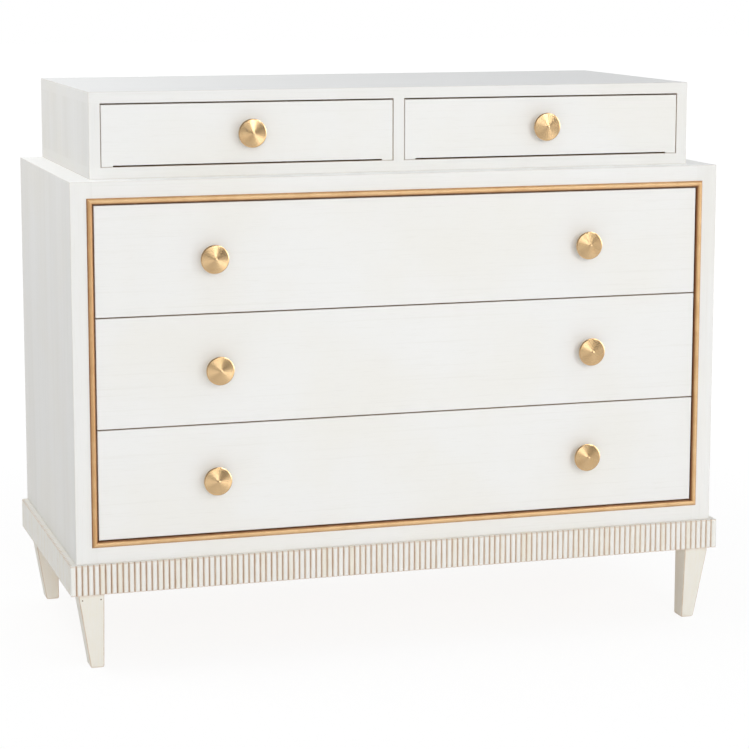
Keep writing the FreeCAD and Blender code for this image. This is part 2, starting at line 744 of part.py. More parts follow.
    def knob(self, number, x):
        """A spun brass knob: a shallow cone with a thin rim on a plain stem, bored for its screw."""
        rim, stem = S.knob_diameter / 2, S.knob_stem / 2
        bore = S.screw_radius + S.screw_hole_play / 2
        lip = S.knob_projection - S.knob_cone
        behind = lip - S.knob_rim
        places = [(bore, 0), (stem, 0), (stem, behind), (rim, behind), (rim, lip), (0, S.knob_projection),
                  (0, S.screw_bite), (bore, S.screw_bite)]
        return turned(f"{self.label}_knob_{number}", (x, self.face, self.knob_z), places)

    def knob_screw(self, number, x):
        """The screw from inside the drawer into its knob."""
        head = S.screw_head
        reach = head + self.thick + S.screw_bite - S.screw_radius
        inside = self.face + self.thick + head
        return turned(f"{self.label}_screw_{number}", (x, inside, self.knob_z),
                      [(0, 0), (S.screw_head_radius, 0), (S.screw_head_radius, head), (S.screw_radius, head),
                       (S.screw_radius, reach), (0, reach)])

    def build(self):
        """Make every piece of the drawer."""
        self.front_board()
        self.side_boards()
        self.back_board()
        self.bottom_board()
        numbered = list(enumerate(self.knobs, start=1))
        group(f"{self.label}_knobs", [self.knob(number, x) for number, x in numbered])
        group(f"{self.label}_knob_screws", [self.knob_screw(number, x) for number, x in numbered])


def wide_drawers():
    """The three drawers of the lower case, top first."""
    half = opening_half - S.drawer_gap
    height = (opening_high - opening_low - 4 * S.drawer_gap) / 3
    drifts = (S.knob_drift_top, S.knob_drift_middle, S.knob_drift_bottom)
    drawers = []
    for row, (word, drift) in enumerate(zip(("top", "middle", "bottom"), drifts)):
        high = opening_high - S.drawer_gap - (height + S.drawer_gap) * row
        knobs = [drift - S.knob_spacing / 2, drift + S.knob_spacing / 2]
        drawers.append(Drawer(f"drawer_{word}", -half, half, high - height, high, knobs, True))
    return drawers


def small_drawers():
    """The two drawers of the upper box."""
    near_x, far_x = half_partition + S.small_side_gap, upper_inner - S.small_side_gap
    low, high = upper_floor + S.running_gap, upper_ceiling - S.small_gap
    middle = (near_x + far_x) / 2
    return [Drawer("drawer_small_left", -far_x, -near_x, low, high, [-middle], False),
            Drawer("drawer_small_right", near_x, far_x, low, high, [middle], False)]


def runners(drawers):
    """The strips on the case sides that carry the wide drawers and stop them when they are shut."""
    strips = []
    for drawer in drawers:
        start = drawer.face + drawer.thick + S.runner_stop + S.running_gap
        groove_face = drawer.high_x - S.runner_groove
        tip = groove_face + S.side_play
        low_z = drawer.runner_low() + S.running_gap
        size = (inner_side - tip, panel_face - start, S.runner_height)
        for end, low_x in (("left", -inner_side), ("right", tip)):
            strips.append(board(f"{drawer.label}_runner_{end}", (low_x, start, low_z), size))
    return group("drawer_runners", strips)


def stops(drawers):
    """Blocks on the floor of the upper box, one behind each side of the small drawers."""
    blocks = []
    for drawer in drawers:
        for end, low_x in (("left", drawer.low_x), ("right", drawer.high_x - S.stop_size)):
            low = (low_x, drawer.rear + S.running_gap, upper_floor)
            blocks.append(board(f"{drawer.label}_stop_{end}", low, (S.stop_size, S.stop_size, S.stop_size)))
    return group("drawer_stops", blocks)


def build():
    """Make the chest from the legs up."""
    for label, is_left, is_front in LEGS:
        leg(label, is_left, is_front)
    group("corner_blocks", [corner_block(f"{label}_block", *where) for label, *where in LEGS])
    apron_front_board()
    apron_side_board("apron_left", True)
    apron_side_board("apron_right", False)
    apron_back_board()

    case_side("case_side_left", True)
    case_side("case_side_right", False)
    case_panel("case_bottom", case_floor, False)
    case_panel("case_top", case_top - S.case_board, True)
    case_back()
    stile("frame_stile_left", True)
    stile("frame_stile_right", False)
    rail("frame_rail_top", True)
    rail("frame_rail_bottom", False)
    gilt_bead()

    node(upper_plank("upper_bottom", case_top, False))
    upper_end("upper_side_left", True)
    upper_end("upper_side_right", False)
    upper_partition()
    upper_top()
    upper_back()

    wide, small = wide_drawers(), small_drawers()
    runners(wide)
    stops(small)
    for drawer in small + wide:
        drawer.build()
    doc.recompute()


def check():
    """Stop if anything failed to build, is not a valid solid, or is a cut that removed nothing."""
    for item in doc.Objects:
        if "Invalid" in item.State or "Error" in item.State:
            raise RuntimeError(f"{item.Label} failed: {item.State}")
        if item.TypeId == "PartDesign::Pocket" and item.Shape.Volume >= item.BaseFeature.Shape.Volume - 0.1:
            raise RuntimeError(f"{item.Label} removed nothing")
    for item in nodes:
        if item.Shape.isNull() or not item.Shape.isValid() or not item.Shape.Solids:
            raise RuntimeError(f"{item.Label} is not a valid solid")


def write():
    """Write each sub-part to a file of its own name."""
    os.makedirs("parts", exist_ok=True)
    for item in nodes:
        item.Shape.exportStep(os.path.join("parts", f"{item.Label}.step"))
    print(len(nodes), "sub-parts written")


build()
check()
write()
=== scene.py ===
"""A white painted chest of drawers in two tiers, dressed over its solids.

The solids carry the boards. This file adds the reeded plinth, the tapered legs, the gilt bead and the
spun knobs as finer surfaces, and gives every board its paint, gilding, metal or bare timber.
"""
import logging
import math
from dataclasses import dataclass, replace
from enum import Enum
from typing import Mapping, Optional, Sequence, Union

import bpy
import numpy as np
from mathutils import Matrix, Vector


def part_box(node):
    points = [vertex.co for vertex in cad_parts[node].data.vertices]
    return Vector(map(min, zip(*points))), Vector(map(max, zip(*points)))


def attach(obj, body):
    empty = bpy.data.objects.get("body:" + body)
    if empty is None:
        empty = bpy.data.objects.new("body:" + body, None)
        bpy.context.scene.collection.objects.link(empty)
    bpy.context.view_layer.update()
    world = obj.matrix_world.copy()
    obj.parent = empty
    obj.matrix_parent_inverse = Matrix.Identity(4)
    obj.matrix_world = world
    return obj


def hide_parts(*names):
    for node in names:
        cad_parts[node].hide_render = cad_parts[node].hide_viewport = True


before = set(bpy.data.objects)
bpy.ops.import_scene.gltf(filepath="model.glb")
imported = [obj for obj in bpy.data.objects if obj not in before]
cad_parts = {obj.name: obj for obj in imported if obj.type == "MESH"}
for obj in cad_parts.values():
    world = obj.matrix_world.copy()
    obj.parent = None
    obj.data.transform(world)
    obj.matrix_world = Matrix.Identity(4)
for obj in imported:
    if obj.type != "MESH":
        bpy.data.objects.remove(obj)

log = logging.getLogger("chest")
Material = bpy.types.Material
Colour = tuple[float, float, float, float]
Spot = tuple[float, float, float]
Pair = tuple[float, float]
Opening = tuple[Pair, Pair]
Names = tuple[str, ...]
Box = tuple[np.ndarray, np.ndarray]
Faces = Sequence[Sequence[int]]
Values = Mapping[str, np.ndarray]
Key = Union[str, int]
Value = Union["Signal", float]
Tone = Union["Signal", Colour]
Settings = Optional[Mapping[str, object]]
Sockets = Optional[Mapping[Key, object]]
WHITE: Colour = (1.0, 1.0, 1.0, 1.0)


def colour(red: int, green: int, blue: int) -> Colour:
    """Turns a display colour of 0 to 255 into the linear colour that shaders take."""
    part = np.array([red, green, blue]) / 255
    return (*np.where(part <= 0.04045, part / 12.92, ((part + 0.055) / 1.055) ** 2.4).tolist(), 1.0)


class Grain(Enum):
    """The way that the timber under a finish runs."""

    ACROSS = 0
    DEEP = 1
    UPRIGHT = 2

    def stretch(self, along: float, across: float) -> Spot:
        """Gives the pattern scale along the grain and across it, as one vector."""
        return tuple(along if axis == self.value else across for axis in range(3))


class PaintReach(Enum):
    """How far round a board its paint goes."""

    OUTSIDE = "every face on the outside of the case"
    FACE = "the face, and a little way over its edges"


class Signal:
    """A node socket that takes part in Python arithmetic, where each operator adds a Math node."""

    def __init__(self, board: "NodeBoard", socket: bpy.types.NodeSocket) -> None:
        """Keeps the socket and the board that its nodes go on."""
        self.board = board
        self.socket = socket

    def math(self, operation: str, *terms: Value) -> "Signal":
        """Adds one Math node with these values or links, in order, and gives its result."""
        return self.board.signal("Math", 0, {"operation": operation}, dict(enumerate(terms)))

    def __add__(self, other: Value) -> "Signal":
        """Sum."""
        return self.math("ADD", self, other)

    def __sub__(self, other: Value) -> "Signal":
        """Difference."""
        return self.math("SUBTRACT", self, other)

    def __rsub__(self, other: Value) -> "Signal":
        """Difference, with a number first."""
        return self.math("SUBTRACT", other, self)

    def __mul__(self, other: Value) -> "Signal":
        """Product."""
        return self.math("MULTIPLY", self, other)

    __radd__ = __add__

    def __abs__(self) -> "Signal":
        """Size without sign."""
        return self.math("ABSOLUTE", self)

    def least(self, other: Value) -> "Signal":
        """The smaller of two."""
        return self.math("MINIMUM", self, other)

    def most(self, other: Value) -> "Signal":
        """The larger of two."""
        return self.math("MAXIMUM", self, other)


def socket_at(sockets: Sequence[bpy.types.NodeSocket], key: Key) -> bpy.types.NodeSocket:
    """Finds a socket by its identifier, or else by its name or number."""
    named = [s for s in sockets if s.identifier == key]
    return named[0] if named else sockets[key]


class NodeBoard:
    """The node tree of one material or world."""

    def __init__(self, owner: Union[Material, bpy.types.World]) -> None:
        """Clears the tree, to be laid out afresh.

        Args:
            owner: The material or world.
        """
        owner.use_nodes = True
        self.owner, self.tree = owner, owner.node_tree
        self.tree.nodes.clear()

    def node(self, kind: str, settings: Settings = None, sockets: Sockets = None) -> bpy.types.Node:
        """Adds any node.

        Args:
            kind: The shader node's type.
            settings: Its own settings, such as an operation, set before its sockets.
            sockets: A value or a link for each named or numbered input.

        Returns:
            The node.
        """
        made = self.tree.nodes.new(f"ShaderNode{kind}")
        for name, value in (settings or {}).items():
            setattr(made, name, value)
        for key, value in (sockets or {}).items():
            target = socket_at(made.inputs, key)
            if isinstance(value, Signal):
                self.tree.links.new(value.socket, target)
            else:
                target.default_value = value
        return made

    def signal(self, kind: str, output: Key, settings: Settings = None, sockets: Sockets = None) -> Signal:
        """Adds any node and takes one of its outputs, by its identifier, name or number."""
        return Signal(self, socket_at(self.node(kind, settings, sockets).outputs, output))

    def place(self) -> Signal:
        """Object coordinates, in metres."""
        return self.signal("TexCoord", "Object")

    def axes(self, vector: Signal) -> tuple[Signal, Signal, Signal]:
        """Splits a vector into across, deep and up."""
        made = self.node("SeparateXYZ", sockets={0: vector})
        return tuple(Signal(self, made.outputs[i]) for i in range(3))

    def rays(self, *kinds: str) -> list[Signal]:
        """Whether the light path is of each of these kinds."""
        path = self.node("LightPath")
        return [Signal(self, path.outputs[kind]) for kind in kinds]

    def facing(self, way: Signal, aim: Spot) -> Signal:
        """The cosine of the angle between a direction and an aim."""
        sockets = {0: way, 1: Vector(aim).normalized()}
        return self.signal("VectorMath", "Value", {"operation": "DOT_PRODUCT"}, sockets)

    def noise(self, vector: Signal, scale: float, detail: float, rough: float = 0.5) -> Signal:
        """A noise pattern round a half, with a number of finer layers and their strength."""
        sockets = {"Vector": vector, "Scale": scale, "Detail": detail, "Roughness": rough}
        return self.signal("TexNoise", 0, sockets=sockets)

    def stretched(self, vector: Signal, factors: Spot, detail: float, rough: float = 0.5) -> Signal:
        """A noise pattern with a fineness of its own along each axis."""
        place = self.signal("VectorMath", 0, {"operation": "MULTIPLY"}, {0: vector, 1: factors})
        return self.noise(place, 1.0, detail, rough)

    def step(self, value: Signal, low: float, high: float) -> Signal:
        """A smooth step from 0 at the low value to 1 at the high value."""
        sockets = {"Value": value, "From Min": low, "From Max": high, "To Min": 0.0, "To Max": 1.0}
        return self.signal("MapRange", 0, {"interpolation_type": "SMOOTHSTEP"}, sockets)

    def tint(self, amount: Value, ground: Tone, over: Tone) -> Signal:
        """Lays an amount of one colour, from 0 to 1, over another."""
        sockets = {"Factor_Float": amount, "A_Color": ground, "B_Color": over}
        return self.signal("Mix", "Result_Color", {"data_type": "RGBA"}, sockets)

    def attribute(self, name: str) -> Signal:
        """A piece's own painted value."""
        return self.signal("Attribute", "Fac", {"attribute_name": name})

    def bump(self, height: Signal, strength: float, distance: float) -> Signal:
        """Turns a height pattern into a normal."""
        sockets = {"Height": height, "Strength": strength, "Distance": distance}
        return self.signal("Bump", 0, sockets=sockets)

    def glow(self, kind: str, strength: Value, shade: Colour = WHITE) -> Signal:
        """A shader that gives light, of the Emission or the Background kind."""
        return self.signal(kind, 0, sockets={"Color": shade, "Strength": strength})

    def mixed(self, share: Signal, first: Signal, second: Signal) -> Signal:
        """Mixes two shaders by the share of the second."""
        return self.signal("MixShader", 0, sockets={0: share, 1: first, 2: second})

    def surface(self, sockets: Mapping[str, object]) -> Material:
        """Ends the board in one Principled shader with these inputs, and gives its material."""
        self.node("OutputMaterial", sockets={"Surface": self.signal("BsdfPrincipled", 0, sockets=sockets)})
        return self.owner


@dataclass(frozen=True)
class Timber:
    """Unpainted timber: long streaks of early and late wood with fine open pores."""

    pale: Colour = colour(222, 196, 158)  # Early wood.
    dark: Colour = colour(196, 160, 116)  # Late wood.
    pore: Colour = colour(146, 108, 72)  # Open pores.

    def tone(self, board: NodeBoard, place: Signal, grain: Grain) -> tuple[Signal, Signal]:
        """Works out the timber's colour and height.

        Args:
            board: The node board.
            place: Object coordinates.
            grain: The way that the timber runs.

        Returns:
            Its colour, and its height for a bump.
        """
        bend = board.noise(place, scale=2.2, detail=1.0)
        lines = board.stretched(place, grain.stretch(1.6, 58.0), 4.0, 0.6)
        rings = board.step(lines.math("PINGPONG", lines * 5.0 + bend * 2.0, 1.0), 0.15, 0.95)
        pores = board.step(board.stretched(place, grain.stretch(22.0, 900.0), 2.0), 0.6, 0.72)
        wood = board.tint(rings, self.pale, self.dark)
        return board.tint(pores * 0.45, wood, self.pore), rings * 0.4 - pores

    def material(self, name: str, grain: Grain) -> Material:
        """Makes the bare timber.

        Args:
            name: The finish's name.
            grain: The way that the timber runs.

        Returns:
            The material.
        """
        board = NodeBoard(bpy.data.materials.new(name))
        wood, height = self.tone(board, board.place(), grain)
        return board.surface({
            "Base Color": wood,
            "Roughness": 0.62 + height * 0.08,
            "Normal": board.bump(height, 0.25, 0.0004),
        })


@dataclass(frozen=True)
class WhitePaint:
    """Brushed white paint over brown timber, rubbed through at the edges."""

    coat: Colour = colour(240, 239, 236)  # The paint.
    warm: Colour = colour(238, 235, 227)  # Warmer cloudy places in it.
    shade: Colour = colour(222, 219, 211)  # The faint lines of the grain below.
    cool: Colour = colour(214, 211, 203)  # The duller paint of streaks down the sides.
    rubbed: Colour = colour(168, 130, 90)  # Timber that shows where the paint has gone.
    hidden: Timber = Timber()  # The timber inside the case.
    top_painted_light_and_shade: Optional[Colour] = None  # The colour of the top face, where it differs: painted light on the case's top and painted shade on the upper box's top.
    gloss: float = 0.4  # How strongly the paint mirrors.
    wear: float = 0.3  # How much timber shows at a rubbed edge.
    worn: Pair = (-0.0003, 0.0014)  # How far from an edge it is rubbed most, and where no more.
    inside: Pair = (0.0012, 0.0026)  # How far inside the case the paint thins, and where it has ended.
    lap: Pair = (0.0022, 0.0052)  # The same behind the face of a drawer.

    def edge(self, board: NodeBoard, place: Signal, box: Box) -> tuple[Signal, Signal, Signal]:
        """Measures how far a point is from a box's faces and edges.

        The distance to an edge is the middle one of the distances to the nearest face across, deep and up.

        Args:
            board: The node board.
            place: Object coordinates.
            box: The lowest and highest corner.

        Returns:
            The distance to the nearest face, to the nearest edge, and behind the front.
        """
        parts = board.axes(place)
        away = [(p - float(low)).least(float(high) - p) for p, low, high in zip(parts, *box)]
        nearest = away[0].least(away[1]).least(away[2])
        middle = away[0].least(away[1]).most(away[0].most(away[1]).least(away[2]))
        return nearest, middle, parts[1] - float(box[0][1])

    def rim(self, board: NodeBoard, place: Signal, opening: Opening) -> Signal:
        """The distance to the edge of an opening in the front, as the larger of those across and up."""
        ways = [abs(p - (a + b) / 2) - (b - a) / 2 for p, (a, b) in zip(board.axes(place)[::2], opening)]
        return abs(ways[0].most(ways[1]))

    def material(
        self, name: str, grain: Grain, box: Box, reach: PaintReach, openings: Sequence[Opening] = ()
    ) -> Material:
        """Makes the paint for the boards of one box.

        Args:
            name: The finish's name.
            grain: The way that the timber runs.
            box: The box whose edges are rubbed.
            reach: How far the paint goes.
            openings: Openings in the front, whose edges are rubbed too.

        Returns:
            The material.
        """
        board = NodeBoard(bpy.data.materials.new(name))
        place = board.place()
        nearest, line, behind = self.edge(board, place, box)
        cloud = board.noise(place, scale=4.5, detail=3.0)
        brush = board.stretched(place, grain.stretch(3.0, 240.0), 4.0, 0.65)
        pores = board.step(board.stretched(place, grain.stretch(30.0, 1300.0), 1.0), 0.62, 0.75)
        ragged = board.noise(place, scale=26.0, detail=4.0, rough=0.6) - 0.5

        paint = board.tint(board.step(cloud, 0.35, 0.7) * 0.6, self.coat, self.warm)
        paint = board.tint(board.step(brush, 0.52, 0.78) * 0.22, paint, self.shade)
        paint = board.tint(pores * 0.22, paint, self.shade)
        if grain is Grain.UPRIGHT:
            streak = board.stretched(place, grain.stretch(1.3, 26.0), 2.0)
            paint = board.tint(board.step(streak, 0.3, 0.9) * 0.26, paint, self.cool)
        # The top face gets its own colour: painted light on the case, painted shade on the upper box.
        if self.top_painted_light_and_shade is not None:
            top = float(box[1][2])
            paint = board.tint(board.step(board.axes(place)[2], top - 0.0006, top - 0.0002), paint, self.top_painted_light_and_shade)
        for opening in openings:
            line = line.least(self.rim(board, place, opening).most(behind - 0.0005))
        worn = 1.0 - board.step(line + ragged * 0.0007, *self.worn)
        paint = board.tint(worn * self.wear, paint, self.rubbed)
        if reach is PaintReach.OUTSIDE:
            bare = board.step(nearest, *self.inside)
        else:
            bare = board.step(behind + ragged * 0.004, *self.lap)
        wood, height = self.hidden.tone(board, place, grain)
        return board.surface({
            "Base Color": board.tint(bare, paint, wood),
            "Roughness": 0.44 + brush * 0.16 + bare * 0.15,
            "Normal": board.bump(brush * 0.6 + pores * -0.4 + height * bare, 0.18, 0.0003),
            "Specular IOR Level": self.gloss,
        })


@dataclass(frozen=True)
class GlazedPaint:
    """Cream paint under a brown glaze, which is left in the grooves and on the rubbed edges."""

    coat: Colour = colour(240, 238, 232)  # The paint.
    aged: Colour = colour(236, 229, 211)  # Creamier places.
    glaze: Colour = colour(214, 192, 170)  # The glaze where it is thin.
    deep: Colour = colour(166, 130, 104)  # The glaze at the bottom of a groove.
    streak: float = 0.5  # How strongly the upright streaks show.

    def material(self, name: str) -> Material:
        """Makes the glazed paint.

        The piece's own values are rub, 1 where the glaze lies; end, 1 where the end of a piece is rubbed and
        where the top of a leg is darkened as painted shade; and tone, the shade of each reed.

        Args:
            name: The finish's name.

        Returns:
            The material.
        """
        board = NodeBoard(bpy.data.materials.new(name))
        place = board.place()
        rub, end, tone = (board.attribute(value) for value in ("rub", "end", "tone"))
        streak = board.stretched(place, Grain.UPRIGHT.stretch(9.0, 330.0), 4.0, 0.6)
        patchy = board.noise(place, scale=38.0, detail=4.0, rough=0.65)
        ragged = patchy - 0.5
        aged = board.step(streak * self.streak + patchy * 0.3 + tone, 0.42, 0.95)
        ends = board.step(end + ragged * 0.9, 0.3, 1.0)
        thin = board.step(rub + ragged * 0.5, 0.16, 0.6)
        thick = board.step(rub + ragged * 0.25, 0.6, 1.0)
        paint = board.tint(aged, self.coat, self.aged)
        paint = board.tint(thin.most(ends * 0.55), paint, self.glaze)
        paint = board.tint(thick * 0.85, paint, self.deep)
        return board.surface({
            "Base Color": paint,
            "Roughness": 0.46 + streak * 0.2,
            "Normal": board.bump(streak + patchy * 0.5, 0.2, 0.0003),
            "Specular IOR Level": 0.4,
        })


@dataclass(frozen=True)
class Gilding:
    """Satin gilding, paler on the crown with a painted highlight, and thin at the sides, where the brown
    ground shows, made dark and red as painted shade.
    """

    gold: Colour = colour(202, 155, 102)  # The gilding.
    bright: Colour = colour(226, 190, 142)  # The paler crown: rubbed gilding with a painted highlight.
    ground: Colour = colour(126, 74, 36)  # The brown ground, made dark and red as painted shade where it shows on the bead's sides.

    def material(self, name: str) -> Material:
        """Makes the gilding; the piece's own value is crown, 1 on the bead's crown and less at its sides.

        Args:
            name: The finish's name.

        Returns:
            The material.
        """
        board = NodeBoard(bpy.data.materials.new(name))
        place = board.place()
        crown = board.attribute("crown")
        patchy = board.noise(place, scale=30.0, detail=4.0, rough=0.6)
        fine = board.noise(place, scale=420.0, detail=2.0)
        ragged = patchy - 0.5
        gold = board.tint(board.step(crown + ragged * 0.9, 0.5, 1.1) * 0.8, self.gold, self.bright)
        # Low values show the dark ground: painted shade.
        thin = 1.0 - board.step(crown + ragged * 0.3, 0.2, 0.6)
        return board.surface({
            "Base Color": board.tint(thin * 0.85, gold, self.ground),
            "Metallic": 0.32 - thin * 0.2,
            "Roughness": 0.36 + patchy * 0.16,
            "Normal": board.bump(patchy + fine * 0.4, 0.16, 0.0003),
        })


@dataclass(frozen=True)
class TurnedBrass:
    """Satin brass with the fine rings that the lathe leaves, and a little tarnish."""

    metal: Colour = colour(213, 179, 131)  # The brass.
    tarnish: Colour = colour(204, 164, 111)  # Dulled brass.

    def material(self, name: str) -> Material:
        """Makes the brass; the piece's own value is ring, the distance from the knob's axis in metres.

        Args:
            name: The finish's name.

        Returns:
            The material.
        """
        board = NodeBoard(bpy.data.materials.new(name))
        sockets = {"W": board.attribute("ring"), "Scale": 900.0, "Detail": 2.0}
        turned = board.signal("TexNoise", 0, {"noise_dimensions": "1D"}, sockets)
        patchy = board.noise(board.place(), scale=45.0, detail=3.0)
        return board.surface({
            "Base Color": board.tint(board.step(patchy, 0.42, 0.75) * 0.5, self.metal, self.tarnish),
            "Metallic": 1.0,
            "Roughness": 0.16 + turned * 0.1 + patchy * 0.05,
            "Coat Weight": 1.0,
            "Coat Roughness": 0.2,
        })


@dataclass(frozen=True)
class PlainSteel:
    """Plain screws and dull nails."""

    metal: Colour = colour(196, 196, 194)  # The steel.
    dull: Colour = colour(140, 138, 134)  # Its darker places.
    rough: float = 0.32  # How dull it is.
    shine: float = 1.0  # How much of it is bare metal.

    def material(self, name: str) -> Material:
        """Makes the steel.

        Args:
            name: The finish's name.

        Returns:
            The material.
        """
        board = NodeBoard(bpy.data.materials.new(name))
        patchy = board.noise(board.place(), scale=240.0, detail=3.0)
        return board.surface({
            "Base Color": board.tint(board.step(patchy, 0.4, 0.7), self.metal, self.dull),
            "Metallic": self.shine,
            "Roughness": self.rough + patchy * 0.15,
        })


def ring_faces(rings: int, count: int) -> list[list[int]]:
    """The squares between rings of points, which close on themselves.

    Args:
        rings: The rings.
        count: The points round each ring.

    Returns:
        Four point numbers for each square.
    """
    start, this = np.meshgrid(np.arange(rings - 1) * count, np.arange(count), indexing="ij")
    after = (this + 1) % count
    corners = [start + this, start + after, start + count + after, start + count + this]
    return np.stack(corners, -1).reshape(-1, 4).tolist()


def repeated(faces: Faces, points: int, times: int) -> list[list[int]]:
    """The faces of several copies of a shape that has so many points."""
    return [[i + copy * points for i in face] for copy in range(times) for face in faces]


def is_inside_out(points: np.ndarray, faces: Faces) -> bool:
    """Whether a closed shape's faces point inwards, by the sign of the volume of its fans of triangles."""
    fans = points[np.array([[f[0], f[i], f[i + 1]] for f in faces for i in range(1, len(f) - 1)])]
    return float(np.einsum("ij,ij->i", fans[:, 0], np.cross(fans[:, 1], fans[:, 2])).sum()) < 0


def new_piece(
    name: str,
    points: np.ndarray,
    faces: Faces,
    values: Values,
    material: Material,
    slot: str,
    nodes: Names = (),
    body: str = "case",
    sharp: float = 40.0,
) -> None:
    """Puts a surface into a mesh of its own, with its faces outwards.

    Args:
        name: The piece's name.
        points: Its points in metres, one row each.
        faces: The point numbers of each face.
        values: The piece's own values, one number for each point.
        material: Its finish.
        slot: A material slot's name, which is not used.
        nodes: The nodes that it stands for.
        body: The body that it rides on.
        sharp: The angle in degrees above which an edge stays sharp.
    """
    if is_inside_out(points, faces):
        faces = [list(f)[::-1] for f in faces]
    mesh = bpy.data.meshes.new(name)
    mesh.from_pydata(points.tolist(), [], [list(f) for f in faces])
    for label, numbers in values.items():
        layer = mesh.attributes.new(label, "FLOAT", "POINT")
        layer.data.foreach_set("value", numbers.astype(np.float32).ravel())
    mesh.shade_smooth()
    mesh.set_sharp_from_angle(angle=math.radians(sharp))
    mesh.materials.append(material)
    piece = bpy.data.objects.new(name, mesh)
    bpy.context.scene.collection.objects.link(piece)
    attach(piece, body)
    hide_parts(*nodes)
    log.info("%s: %d faces", name, len(faces))


def bars(points: np.ndarray, values: Values) -> tuple[np.ndarray, Faces, Values]:
    """Closes bars, each of which is a run of rings with a flat cap on both ends.

    Args:
        points: Their points, by bar, ring and place round the ring.
        values: The piece's own values, which spread over those points.

    Returns:
        All the points, all the faces, and the values of each point.
    """
    count, rings, steps = points.shape[:3]
    first, last = range(steps), range((rings - 1) * steps, rings * steps)
    faces = repeated([*ring_faces(rings, steps), first[::-1], last], rings * steps, count)
    spread = {label: np.broadcast_to(numbers, points.shape[:3]) for label, numbers in values.items()}
    return points.reshape(-1, 3), faces, spread


def dress(node: str, material: Material) -> None:
    """Gives a solid's node its finish.

    Args:
        node: The node's name.
        material: The finish.
    """
    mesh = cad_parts[node].data
    mesh.materials.clear()
    mesh.materials.append(material)
    log.info("%s: %s", node, material.name)


def box_of(*nodes: str) -> Box:
    """The lowest and highest corner round some nodes."""
    corners = [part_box(n) for n in nodes]
    return np.min([lo for lo, _ in corners], axis=0), np.max([hi for _, hi in corners], axis=0)


def paint_boards(
    name: str, paint: WhitePaint, across: Names, upright: Names, openings: Sequence[Opening] = ()
) -> None:
    """Paints the boards of one box.

    Args:
        name: What the names of its finishes begin with.
        paint: The paint.
        across: The boards whose timber runs across.
        upright: The boards whose timber runs up.
        openings: Openings in the front.
    """
    box = box_of(*across, *upright)
    for grain, nodes in ((Grain.ACROSS, across), (Grain.UPRIGHT, upright)):
        coat = paint.material(f"{name}_{grain.name.lower()}", grain, box, PaintReach.OUTSIDE, openings)
        for node in nodes:
            dress(node, coat)


def turn(outline: np.ndarray, spokes: int) -> tuple[np.ndarray, list[list[int]]]:
    """Turns an outline round the Y axis, towards the front, and closes both ends on a pole.

    A point at radius r and height h goes to r cos a across, h forwards and r sin a up, for each angle a.

    Args:
        outline: A radius and a height for each ring; the first and last give the heights of the poles.
        spokes: The steps round.

    Returns:
        The points and the faces.
    """
    angle = np.linspace(0, 2 * math.pi, spokes, endpoint=False)
    r, h = outline[1:-1, :1], outline[1:-1, 1:]
    rings = np.stack([r * np.cos(angle), 0 * angle - h, r * np.sin(angle)], -1).reshape(-1, 3)
    poles = np.array([[0, -outline[0, 1], 0], [0, -outline[-1, 1], 0]])
    last = len(rings)
    k = np.arange(spokes)
    n = (k + 1) % spokes
    low_fan = np.stack([np.full_like(k, last), n, k], -1)
    high_fan = np.stack([np.full_like(k, last + 1), last - spokes + k, last - spokes + n], -1)
    faces = ring_faces(len(r), spokes) + low_fan.tolist() + high_fan.tolist()
    return np.concatenate([rings, poles]), faces


def copies(points: np.ndarray, faces: Faces, places: np.ndarray) -> tuple[np.ndarray, Faces]:
    """Sets one shape down at several places, as all the points and all the faces."""
    return (places[:, None, :] + points).reshape(-1, 3), repeated(faces, len(points), len(places))


